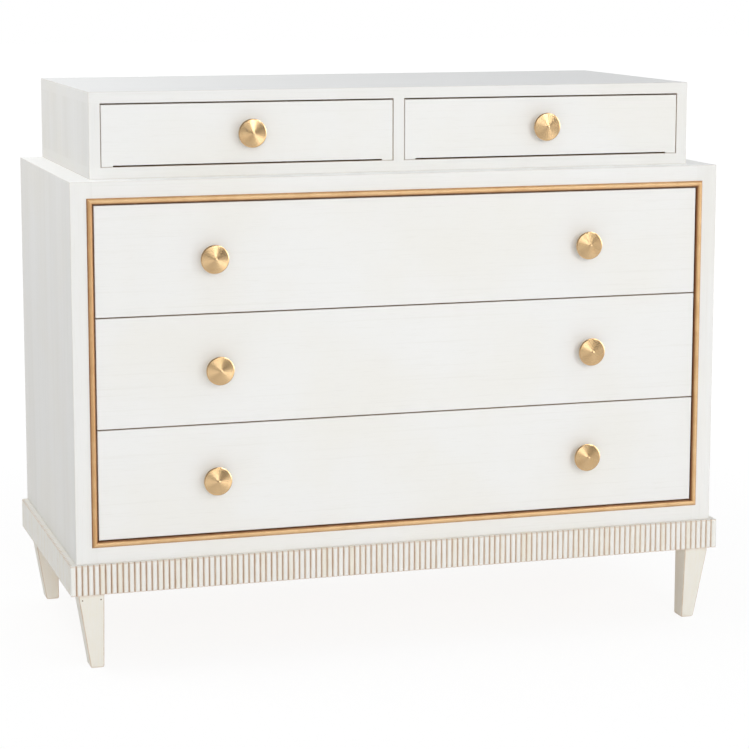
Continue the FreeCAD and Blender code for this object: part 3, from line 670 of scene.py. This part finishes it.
@dataclass
class TurnedKnobs:
    """The knobs of one drawer: a shallow cone with a point, a thin rim and a waisted stem."""

    drawer: str  # The drawer's name.
    radius: float = 0.0254  # The rim.
    projection: float = 0.030  # From the drawer's face to the point.
    cone_rise: float = 0.0065  # The cone's height.
    rim: float = 0.0026  # The rim's thickness.
    stem: float = 0.0085  # The stem's radius in the solid.
    point: float = 0.0029  # The radius of the small raised point in the middle.
    point_rise: float = 0.0013  # How far it stands out of the cone.
    ring_pitch: float = 0.00110  # The distance between the lathe's rings.
    ring_depth: float = 0.000012  # Half the height of a ring.
    spokes: int = 72  # The steps round the knob.

    def profile(self) -> np.ndarray:
        """Works out the outline from the foot round to the point.

        The stem is a waist that flares with the sixth power of its height, the rim a small round, the face a
        straight cone with a sine wave of the lathe's rings on it, and the point a low dome.

        Returns:
            A radius and a height above the drawer's face for each point.
        """
        back = self.projection - self.cone_rise - self.rim
        hub, wide, edge_rise, rise = 0.006, self.stem * 1.2, 0.0014, 0.0021
        foot = [[hub, 0.0], [wide, 0.0], [wide, edge_rise], [self.stem * 1.1, rise]]
        s = np.linspace(0.0, 1.0, 15)[1:]
        waist = self.stem * (0.8 + 0.3 * (1 - s) ** 2) + (self.radius * 0.95 - self.stem * 0.8) * s ** 6
        stem = np.stack([waist, rise + s * (back - rise)], -1)
        swing = np.linspace(-90, 90, 9) * math.pi / 180
        half = self.rim / 2
        edge = np.stack([self.radius - half + half * np.cos(swing), back + half + half * np.sin(swing)], -1)
        steps = int((self.radius - half - self.point) / self.ring_pitch * 4)
        r = np.linspace(self.radius - half, self.point, steps)[1:]
        wave = self.ring_depth * np.sin(2 * math.pi * r / self.ring_pitch)
        fade = np.clip((self.radius - half - r) / self.ring_pitch, 0, 1)
        share = (self.radius - r) / (self.radius - self.point)
        slope = (self.cone_rise - self.point_rise) * share
        face = np.stack([r, back + self.rim + slope + wave * fade], -1)
        dome = np.radians([20.0, 40.0, 65.0])
        low = self.projection - self.point_rise
        tip = np.stack([self.point * 0.9 * np.cos(dome), low + self.point_rise * np.sin(dome)], -1)
        return np.concatenate([[[0, 0]], foot, stem, edge, face, tip, [[0, self.projection]]])

    def build(self, brass: Material) -> None:
        """Turns the outline and sets it on the drawer at each knob of the solid.

        Args:
            brass: The knobs' finish.
        """
        low, high = box_of(f"{self.drawer}_knobs")
        is_pair = high[0] - low[0] > 3 * self.radius
        across = [low[0] + self.radius, high[0] - self.radius] if is_pair else [(low[0] + high[0]) / 2]
        places = np.array([[x, high[1], (low[2] + high[2]) / 2] for x in across])
        outline = self.profile()
        points, faces = copies(*turn(outline, self.spokes), places)
        ring = np.concatenate([np.repeat(outline[1:-1, 0], self.spokes), [0, 0]])
        values = {"ring": np.tile(ring, len(across))}
        name, nodes = f"{self.drawer}_turned_knobs", (f"{self.drawer}_knobs",)
        new_piece(name, points, faces, values, brass, "brass", nodes, self.drawer, sharp=50.0)


@dataclass
class ReededPlinth:
    """The plinth round the foot of the case, reeded at the front and on both sides."""

    reed_depth: float = 0.0036  # From a reed's crown to the bottom of a groove.
    front_reeds: int = 119  # Reeds across the front.
    side_reeds: int = 53  # Reeds along a side, the front board's own two among them.
    corner_reeds: int = 2  # Side reeds that the front board's ends carry.
    roundness: float = 2.6  # The power that the crown falls away with.
    soft: float = 0.0011  # The rounding of the upper and lower edges.
    corner: float = 0.00045  # How far the upright corners of the front board are taken off.
    rubbed: float = 0.005  # How far the ends of the reeds are rubbed.
    shade: float = 0.36  # How much the reeds differ in shade.
    side_shade: float = 0.6  # The share of that on the sides.
    wiped: float = 0.22  # How much of the glaze is wiped off towards the right end.
    # The places across one reed where it is worked out.
    steps: tuple[float, ...] = (0.0, 0.05, 0.12, 0.22, 0.36, 0.5, 0.64, 0.78, 0.88, 0.95)

    def reeds(self, first: int, last: int, seed: int, share: float) -> tuple[np.ndarray, ...]:
        """Works out a row of reeds, each falling from its crown by a power of the distance to its middle.

        Args:
            first: The number of the first reed.
            last: The number after the last reed.
            seed: What the reeds' shades are drawn from.
            share: How much of the shades shows.

        Returns:
            The place along the row in reeds, the depth from 0 at a crown to 1 in a groove, and the shade.
        """
        steps = np.array(self.steps)
        number = np.arange(first, last)
        place = (number[:, None] + steps).ravel()
        depth = np.tile(np.abs(2 * steps - 1) ** self.roundness, len(number))
        shade = np.random.default_rng(seed).random(len(number)) ** 2 * self.shade * share
        shade = np.repeat(shade, len(steps))
        return np.append(place, last), np.append(depth, 1.0), np.append(shade, shade[-1])

    def board(
        self,
        side: str,
        outer: np.ndarray,
        outward: np.ndarray,
        inner: np.ndarray,
        depth: np.ndarray,
        shade: np.ndarray,
        glazed: Material,
    ) -> None:
        """Carries the board's upright section along its reeded outline and caps its ends.

        Args:
            side: Front, left or right.
            outer: The reeded outline in plan.
            outward: The way out from each point of it.
            inner: The point of the back edge across from each.
            depth: How deep in a groove each point is.
            shade: The shade of each point's reed.
            glazed: The finish.
        """
        node = f"apron_{side}"
        low, high = (corner[2] for corner in box_of(node))
        soft, bevel = self.soft, 0.29 * self.soft  # An edge's rounding, and how far in its middle lies.
        rise = np.array([0, 0, bevel, soft, self.rubbed])
        inset = np.array([2 * soft, soft, bevel, 0, 0])
        inset = np.concatenate([inset, inset[::-1]])
        height = np.concatenate([low + rise, high - rise[::-1]])
        # From the underside up the face and over the top to the back: how rubbed a point is, and how much of
        # the glaze it holds.
        ends = np.array([0, 0.9, 1, 0.8, 0, 0, 0.8, 1, 0.45, 0, 0, 0])
        reach = np.array([0, 1, 1, 1, 1, 1, 1, 1, 0.7, 0, 0, 0])
        face = outer[:, None, :] - outward[:, None, :] * inset[None, :, None]
        face = np.concatenate([face, np.broadcast_to(height[None, :, None], (*face.shape[:2], 1))], -1)
        back = np.stack([np.column_stack([inner, np.full(len(inner), z)]) for z in (high, low)], axis=1)
        points = np.concatenate([face, back], axis=1)
        half = float(box_of("apron_front")[1][0])
        wipe = 1 - self.wiped * (outer[:, :1] / half + 1) / 2
        values = {"rub": depth[:, None] * reach * wipe, "tone": shade[:, None], "end": ends}
        shape = bars(points[None], values)
        new_piece(f"plinth_{side}_reeds", *shape, glazed, "glazed_paint", (node,), sharp=70.0)

    def build(self, glazed: Material) -> None:
        """Makes the front board with its square corners, and the two side boards.

        Args:
            glazed: The finish.
        """
        low, high = box_of("apron_front", "apron_left", "apron_right")
        wide, front, back = float(high[0]), float(low[1]), float(high[1])
        behind = float(box_of("apron_front")[1][1])
        thick = behind - front
        front_pitch, side_pitch = 2 * wide / self.front_reeds, (back - front) / self.side_reeds

        gap = 0.15  # The part of the first reed that a corner takes up.
        back_in = 0.0008  # How much narrower the board is at its back.
        place, depth, shade = self.reeds(0, self.front_reeds, 11, 1.0)
        depth = np.where((place < 0.5) | (place > self.front_reeds - 0.5), 0.0, depth)
        kept = (place > gap) & (place < self.front_reeds - gap)
        across = np.stack([place * front_pitch - wide, front + depth * self.reed_depth], -1)[kept]
        end_place, end_depth, end_shade = self.reeds(0, self.corner_reeds, 12, self.side_shade)
        end_depth = np.where(end_place < 0.5, 0.0, end_depth)
        left = np.stack([end_depth * self.reed_depth - wide, front + end_place * side_pitch], -1)
        near = end_place > gap
        left, end_depth, end_shade = (row[near][::-1] for row in (left, end_depth, end_shade))
        corner = np.array([[self.corner - wide, front + self.corner]])
        flip = np.array([-1.0, 1.0])
        outer = np.concatenate([left, corner, across, corner * flip, left[::-1] * flip])
        counts = (len(left), 1, len(across), 1, len(left))
        ways = np.repeat([[-1, 0], [-0.7, -0.7], [0, -1], [0.7, -0.7], [1, 0]], counts, axis=0)
        run = np.concatenate([[0], np.cumsum(np.linalg.norm(np.diff(outer, axis=0), axis=1))])
        inner = np.column_stack([(run / run[-1] * 2 - 1) * (wide - back_in), np.full(len(run), behind)])
        depths = np.concatenate([end_depth, [0], depth[kept], [0], end_depth[::-1]])
        shades = np.concatenate([end_shade, [0], shade[kept], [0], end_shade[::-1]])
        self.board("front", outer, ways, inner, depths, shades, glazed)

        for side, sign, seed in (("left", -1, 13), ("right", 1, 14)):
            place, depth, shade = self.reeds(self.corner_reeds, self.side_reeds, seed, self.side_shade)
            deep = front + place * side_pitch
            outer = np.stack([sign * (wide - depth * self.reed_depth), deep], -1)
            inner = np.stack([np.full_like(deep, sign * (wide - thick)), deep], -1)
            self.board(side, outer, np.tile([sign, 0.0], (len(deep), 1)), inner, depth, shade, glazed)


@dataclass
class TaperedLegs:
    """The four legs: square at the collar, with two outer faces that taper to the foot."""

    height: float = 0.136  # Floor to plinth.
    collar: float = 0.008  # The straight part at the top.
    side_taper: float = 0.021  # How far the outer side comes in at the foot.
    end_taper: float = 0.0105  # How far the front or back comes in at the foot.
    corner: float = 0.0026  # The rounding of the upright edges.
    foot: float = 0.0036  # The rounding of the foot.

    def build(self, side: str, end: str, glazed: Material) -> None:
        """Carries a rectangle with round corners up the leg, its outer sides coming in towards the foot.

        Args:
            side: Left or right.
            end: Front or rear.
            glazed: The finish.
        """
        node = f"leg_{end}_{side}"
        low, high = box_of(node)
        drop = self.height - self.collar
        # The heights of the foot's rounding, the taper and the collar, and how far in the rounding lies.
        level = np.array([0, 0.12, 0.42, 1.0]) * self.foot
        level = np.concatenate([level, np.linspace(0.02, drop, 6), [drop + 0.0008, self.height]])
        inset = np.concatenate([np.array([1.0, 0.5, 0.16, 0.0]) * self.foot, np.zeros(len(level) - 4)])
        slant = np.clip(1 - level / drop, 0, 1)
        left, right, front, rear = low[0] + inset, high[0] - inset, low[1] + inset, high[1] - inset
        if side == "left":
            left = left + slant * self.side_taper
        else:
            right = right - slant * self.side_taper
        if end == "front":
            front = front + slant * self.end_taper
        else:
            rear = rear - slant * self.end_taper
        angle = (np.arange(4)[:, None] * math.pi / 2 + np.linspace(0, math.pi / 2, 5)).ravel()
        is_right = np.repeat([True, False, False, True], 5)
        is_rear = np.repeat([True, True, False, False], 5)
        r = self.corner
        x = np.where(is_right, right[:, None] - r, left[:, None] + r) + r * np.cos(angle)
        y = np.where(is_rear, rear[:, None] - r, front[:, None] + r) + r * np.sin(angle)
        points = np.stack([x, y, np.broadcast_to(level[:, None], x.shape)], -1)
        # The glaze lies on the round of each upright edge and the foot is rubbed; the top of the collar,
        # under the plinth, is darkened with it as painted shade.
        rub = np.tile([0.0, 0.38, 0.55, 0.38, 0.0], 4)
        ends = np.interp(level, [0, 0.002, 0.006, 0.122, 0.131, 0.136], [1, 0.8, 0, 0, 0.45, 0.95])
        values = {"rub": rub, "tone": np.array(0.2), "end": ends[:, None]}
        shape = bars(points[None], values)
        new_piece(f"{node}_tapered", *shape, glazed, "glazed_paint", (node,), sharp=60.0)


@dataclass
class CollarNails:
    """The two small nails in the collar of the front left leg."""

    node: str = "leg_front_left"  # The leg.
    radius: float = 0.0013  # The head of a nail.
    rise: float = 0.0004  # How far it stands out.
    inset: float = 0.0062  # From the leg's upright edges.
    height: float = 0.1262  # Above the floor.

    def build(self, nail: Material) -> None:
        """Turns a low dome, a quarter of an oval, and sets it on the collar's face twice.

        Args:
            nail: The finish.
        """
        low, high = box_of(self.node)
        angle = np.linspace(0, math.pi / 2, 6)
        dome = np.stack([self.radius * np.cos(angle), self.rise * np.sin(angle)], -1)
        outline = np.concatenate([[[0, -self.rise]], [[self.radius, -self.rise]], dome])
        across = (low[0] + self.inset, high[0] - self.inset)
        sunk = 0.0001
        places = np.array([[x, low[1] + sunk, self.height] for x in across])
        points, faces = copies(*turn(outline, 16), places)
        new_piece("leg_collar_nails", points, faces, {}, nail, "steel")


@dataclass
class GiltBead:
    """The half-round bead round the drawers, in four lengths that meet in mitres."""

    width: float = 0.0105  # Across the bead.
    step: float = 0.0011  # The small flat step on each side of the round.
    step_rise: float = 0.0012  # How far the step stands out from the frame.
    # How bright the bottom, right, top and left lengths are: painted shade, darkest on the left, for the way
    # the light falls on each.
    shine: tuple[float, ...] = (1.0, 0.9, 1.0, 0.72)
    outer_side_unshaded: float = 0.45  # How far the outer side is kept from the dark ground, which is painted shade on the inner side.

    def section(self, rise: float, seat: float) -> np.ndarray:
        """Works out the section: a half oval between two small steps.

        Args:
            rise: How far the crown stands out.
            seat: How deep the bead is let in.

        Returns:
            The distance from the outer edge and the height above the frame for each point.
        """
        angle = np.linspace(math.pi, 0, 13)
        middle, half, bow = self.width / 2, self.width / 2 - self.step, rise - self.step_rise
        oval = np.stack([middle + half * np.cos(angle), self.step_rise + bow * np.sin(angle)], -1)
        near = np.array([[0, -seat], [0, self.step_rise * 0.7], [self.step * 0.4, self.step_rise]])
        far = near[::-1] * [-1, 1] + [self.width, 0]
        return np.concatenate([near, oval, far])

    def build(self, gilding: Material) -> None:
        """Carries the section along each side of the opening, cut to a mitre at both ends.

        Args:
            gilding: The finish.
        """
        low, high = box_of("gilt_bead")
        frame_face = float(box_of("frame_rail_top")[0][1])
        section = self.section(frame_face - low[1], high[1] - frame_face)
        across, out = section[:, 0], section[:, 1]
        ends = np.array([[[-1, -1], [1, -1]], [[1, -1], [1, 1]], [[1, 1], [-1, 1]], [[-1, 1], [-1, -1]]])
        middle = np.array([(low[0] + high[0]) / 2, (low[2] + high[2]) / 2])
        half = np.array([(high[0] - low[0]) / 2, (high[2] - low[2]) / 2])
        flat = middle + ends[:, :, None, :] * (half - across[:, None])
        deep = np.broadcast_to(frame_face - out, flat.shape[:3])
        points = np.stack([flat[..., 0], deep, flat[..., 1]], -1)
        # The crown value is the height of the section, kept up on the outer side, so that the dark ground
        # shows as painted shade on the inner side.
        crown = np.maximum(out / out.max(), np.where(across < self.width / 2, self.outer_side_unshaded, 0))
        # Each length's value is scaled by its painted shade.
        crown = crown * np.array(self.shine)[:, None, None]
        shape = bars(points, {"crown": crown})
        new_piece("gilt_bead_lengths", *shape, gilding, "gilding", ("gilt_bead",), sharp=50.0)


@dataclass
class LowerCase:
    """The case of the wide drawers with its face frame."""

    ledge_painted_light: Colour = colour(251, 251, 249)  # Its top, painted whiter than the other boards as painted light.
    # Its painted boards whose timber runs across.
    across: Names = ("case_top", "frame_rail_top", "frame_rail_bottom")
    # Its painted boards whose timber runs up.
    upright: Names = ("case_side_left", "case_side_right", "frame_stile_left", "frame_stile_right")

    def build(self, paint: WhitePaint, timber: Timber, panel: Timber) -> None:
        """Paints the boards of the case and leaves those inside it bare.

        Args:
            paint: The paint.
            timber: Bare boards.
            panel: The thin back.
        """
        # The case's top is painted whiter, as painted light.
        paint_boards("case_paint", replace(paint, top_painted_light_and_shade=self.ledge_painted_light), self.across, self.upright)
        dress("case_bottom", timber.material("case_bottom_wood", Grain.ACROSS))
        dress("case_back", panel.material("case_back_panel", Grain.UPRIGHT))
        dress("drawer_runners", timber.material("runner_wood", Grain.DEEP))
        dress("corner_blocks", timber.material("block_wood", Grain.ACROSS))


@dataclass
class UpperBox:
    """The box of the two small drawers that stands on the case."""

    top_painted_light_and_shade: Colour = colour(236, 236, 235)  # Its top, painted duller and less creamy as painted shade.
    gloss: float = 0.08  # How strongly its paint mirrors.
    across: Names = ("upper_top", "upper_bottom")  # Its painted boards whose timber runs across.
    # Its painted boards whose timber runs up.
    upright: Names = ("upper_side_left", "upper_side_right", "upper_partition")

    def build(self, paint: WhitePaint, timber: Timber, panel: Timber) -> None:
        """Paints the box, with rubbed edges round its two openings.

        Args:
            paint: The paint.
            timber: The stop blocks.
            panel: The thin back.
        """
        low = float(box_of("upper_bottom")[1][2])
        high = float(box_of("upper_top")[0][2])
        inner = float(box_of("upper_side_right")[0][0])
        middle = float(box_of("upper_partition")[1][0])
        openings = [((-inner, -middle), (low, high)), ((middle, inner), (low, high))]
        # The top is painted duller, as painted shade.
        coat = replace(paint, top_painted_light_and_shade=self.top_painted_light_and_shade, gloss=self.gloss)
        paint_boards("upper_paint", coat, self.across, self.upright, openings)
        dress("upper_back", panel.material("upper_back_panel", Grain.ACROSS))
        dress("drawer_stops", timber.material("stop_wood", Grain.ACROSS))


@dataclass
class Drawer:
    """One drawer: its painted front, bare box, knobs and screws."""

    name: str  # The drawer's name.

    def build(self, paint: WhitePaint, finishes: Mapping[str, Material], brass: Material) -> None:
        """Dresses the drawer and turns its knobs.

        Args:
            paint: The paint of its front.
            finishes: Those of its sides, back, floor and knob_screws.
            brass: The finish of its knobs.
        """
        front = f"{self.name}_front"
        dress(front, paint.material(f"{front}_paint", Grain.ACROSS, box_of(front), PaintReach.FACE))
        for part, finish in finishes.items():
            dress(f"{self.name}_{part}", finish)
        TurnedKnobs(self.name).build(brass)


@dataclass(frozen=True)
class Card:
    """A bright card in the studio that the knobs mirror."""

    way: Spot  # The way to it from the chest.
    spread: float  # Half its width, in degrees.
    bright: float  # How much brighter than the room it is.


@dataclass(frozen=True)
class Lamp:
    """A square soft lamp, which metal doesn't mirror."""

    name: str  # Its name.
    place: Spot  # Where it hangs.
    power: float  # Its power in watts.
    size: float  # Its side.


@dataclass
class Studio:
    """A white floor, light from a wall behind the camera and three lamps, and the photograph's camera."""

    camera_place: Spot = (-1.286, -4.234, 1.232)  # Where the camera stands.
    yaw: float = 16.85  # How far it looks to the right of straight ahead, in degrees.
    pitch: float = 8.54  # How far it looks down, in degrees.
    lens: float = 114.0  # Its focal length in millimetres.
    shift: Pair = (0.0162, -0.08)  # Its lens shift across and up.
    cards: tuple[Card, ...] = (  # The bright cards round the chest.
        Card((0.558, -0.661, 0.501), 6.6, 12.0),
        Card((0.464, -0.849, -0.252), 6.2, 3.7),
        Card((0.943, -0.302, 0.143), 13.3, 4.3),
        Card((-0.244, -0.955, -0.168), 9.1, 0.6),
        Card((0.248, -0.839, 0.484), 6.2, 8.1),
        Card((0.072, -0.987, 0.143), 6.2, 2.6),
    )
    lamps: tuple[Lamp, ...] = (  # The soft lamps.
        Lamp("near_lamp", (0.57, -2.2, 1.2), 4.4, 0.35),
        Lamp("left_lamp", (-3.5, -4.4, 2.2), 9.0, 1.4),
        Lamp("upper_lamp", (-1.35, 0.15, 2.1), 8.2, 0.8),
    )
    wall: Spot = (-0.12, -0.97, 0.14)  # The way to the bright wall behind the camera.
    wall_light: float = 6.8  # How bright the wall is.
    sky_light: float = 0.6  # The light from above.
    fill_light: float = 0.33  # The light from the right and from behind.
    even_light: float = 0.06  # The light from everywhere.
    air: Colour = (0.97, 0.985, 1.0, 1.0)  # The colour of all these.
    paper: Colour = (0.94, 0.94, 0.94, 1.0)  # The floor's own colour.
    floor_white: float = 1.04  # How bright the camera sees the floor.
    floor_glow: float = 0.3  # The share of that which the chest gets from below.
    shadow: float = 0.15  # How much of the shadow on the floor is seen.
    shadow_reach: Pair = (0.9, 2.6)  # How far from the chest it begins to fade, and where it has.

    def stand(self, data: bpy.types.ID, place: Spot, ahead: Vector) -> bpy.types.Object:
        """Stands a camera or a light at a place.

        Args:
            data: The camera or the light.
            place: Where it stands.
            ahead: The way that it faces.

        Returns:
            The new object.
        """
        made = bpy.data.objects.new(data.name, data)
        made.location = place
        made.rotation_mode = "QUATERNION"
        made.rotation_quaternion = ahead.to_track_quat("-Z", "Y")
        bpy.context.scene.collection.objects.link(made)
        return made

    def camera(self) -> None:
        """Stands the camera where the photograph was taken."""
        lens = bpy.data.cameras.new("camera")
        lens.lens, lens.sensor_width = self.lens, 36.0
        lens.shift_x, lens.shift_y = self.shift
        lens.clip_end = 100.0
        a, p = math.radians(self.yaw), math.radians(self.pitch)
        ahead = Vector((math.sin(a) * math.cos(p), math.cos(a) * math.cos(p), -math.sin(p)))
        bpy.context.scene.camera = self.stand(lens, self.camera_place, ahead)

    def light(self) -> None:
        """Hangs the lamps, which face the middle of the chest."""
        middle = Vector((0.0, 0.0, 0.5))
        for lamp in self.lamps:
            light = bpy.data.lights.new(lamp.name, "AREA")
            light.energy, light.size = lamp.power, lamp.size
            hung = self.stand(light, lamp.place, middle - Vector(lamp.place))
            hung.visible_glossy = False

    def floor(self) -> None:
        """Lays the floor, which is white to the camera and keeps a soft shadow under the chest."""
        board = NodeBoard(bpy.data.materials.new("white_floor"))
        seen, shiny, through, spread = board.rays(
            "Is Camera Ray", "Is Glossy Ray", "Is Transmission Ray", "Is Diffuse Ray"
        )
        seen = seen.most(shiny).most(through)
        away = board.signal("VectorMath", "Value", {"operation": "LENGTH"}, {0: board.place()})
        clear = board.step(away, *self.shadow_reach) * self.shadow + (1 - self.shadow)
        lit = seen * clear + spread * self.floor_glow
        paper = board.signal("BsdfDiffuse", 0, sockets={"Color": self.paper})
        mixed = board.mixed(lit, paper, board.glow("Emission", self.floor_white))
        board.node("OutputMaterial", sockets={"Surface": mixed})
        half, drop = 30.0, 0.0003  # Half its side, and how far it lies below the feet.
        corners = [(x * half, y * half, -drop) for x, y in ((-1, -1), (1, -1), (1, 1), (-1, 1))]
        mesh = bpy.data.meshes.new("floor")
        mesh.from_pydata(corners, [], [(0, 1, 2, 3)])
        mesh.materials.append(board.owner)
        floor = bpy.data.objects.new("floor", mesh)
        floor.visible_glossy = False
        bpy.context.scene.collection.objects.link(floor)

    def world(self) -> None:
        """Makes the air white to the camera, a studio to shiny metal, and soft light to all else.

        The studio is white behind the chest, and in front of it a room that darkens from the floor up, with
        the bright cards. The wall's light falls off with the 32nd power of the cosine of the angle to it.
        """
        board = NodeBoard(bpy.data.worlds.new("studio"))
        seen, through, shiny = board.rays("Is Camera Ray", "Is Transmission Ray", "Is Glossy Ray")
        way = board.signal("TexCoord", "Generated")
        across, deep, up = board.axes(way)
        room = board.step(deep, -0.8, -0.2) * (up + 0.59) - up * 0.85 + 0.36
        for card in self.cards:
            # Its light fades from near its middle to almost twice its spread.
            edges = [math.cos(math.radians(card.spread * share)) for share in (1.9, 0.1)]
            room = room + board.step(board.facing(way, card.way), *edges) * card.bright
        wall = board.facing(way, self.wall).most(0.0)
        for _ in range(5):
            wall = wall * wall
        fill = across.most(0.0) + deep.most(0.0)
        level = wall * self.wall_light + up.most(0.0) * self.sky_light
        level = level + fill * self.fill_light + self.even_light
        soft, dim = board.glow("Background", level, self.air), board.glow("Background", room)
        air = board.mixed(seen.most(through), board.mixed(shiny, soft, dim), board.glow("Background", 1.0))
        board.node("OutputWorld", sockets={"Surface": air})
        bpy.context.scene.world = board.owner

    def build(self) -> None:
        """Sets up the whole studio."""
        bpy.context.scene.view_settings.view_transform = "Standard"
        self.world()
        self.floor()
        self.light()
        self.camera()


def main() -> None:
    """Builds the chest piece by piece and dresses it."""
    logging.basicConfig(level=logging.INFO, format="%(name)s %(message)s")
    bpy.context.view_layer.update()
    paint, timber = WhitePaint(), Timber()
    panel = Timber(pale=colour(216, 188, 148), dark=colour(200, 168, 126))
    plinth_glaze = GlazedPaint().material("plinth_glaze")
    leg_glaze = GlazedPaint(coat=colour(237, 233, 224)).material("leg_glaze")
    brass = TurnedBrass().material("turned_brass")
    dull_steel = PlainSteel(colour(150, 132, 108), colour(124, 104, 80), rough=0.6, shine=0.1)

    LowerCase().build(paint, timber, panel)
    UpperBox().build(paint, timber, panel)
    GiltBead().build(Gilding().material("satin_gilding"))
    ReededPlinth().build(plinth_glaze)
    dress("apron_back", plinth_glaze)
    for end in ("front", "rear"):
        for side in ("left", "right"):
            TaperedLegs().build(side, end, leg_glaze)
    CollarNails().build(dull_steel.material("dull_nail"))
    finishes = {
        "sides": timber.material("drawer_side_wood", Grain.DEEP),
        "back": timber.material("drawer_back_wood", Grain.ACROSS),
        "floor": panel.material("drawer_floor_panel", Grain.ACROSS),
        "knob_screws": PlainSteel().material("screw_steel"),
    }
    for name in ("drawer_top", "drawer_middle", "drawer_bottom", "drawer_small_left", "drawer_small_right"):
        Drawer(name).build(paint, finishes, brass)
    Studio().build()


if __name__ == "__main__":
    main()
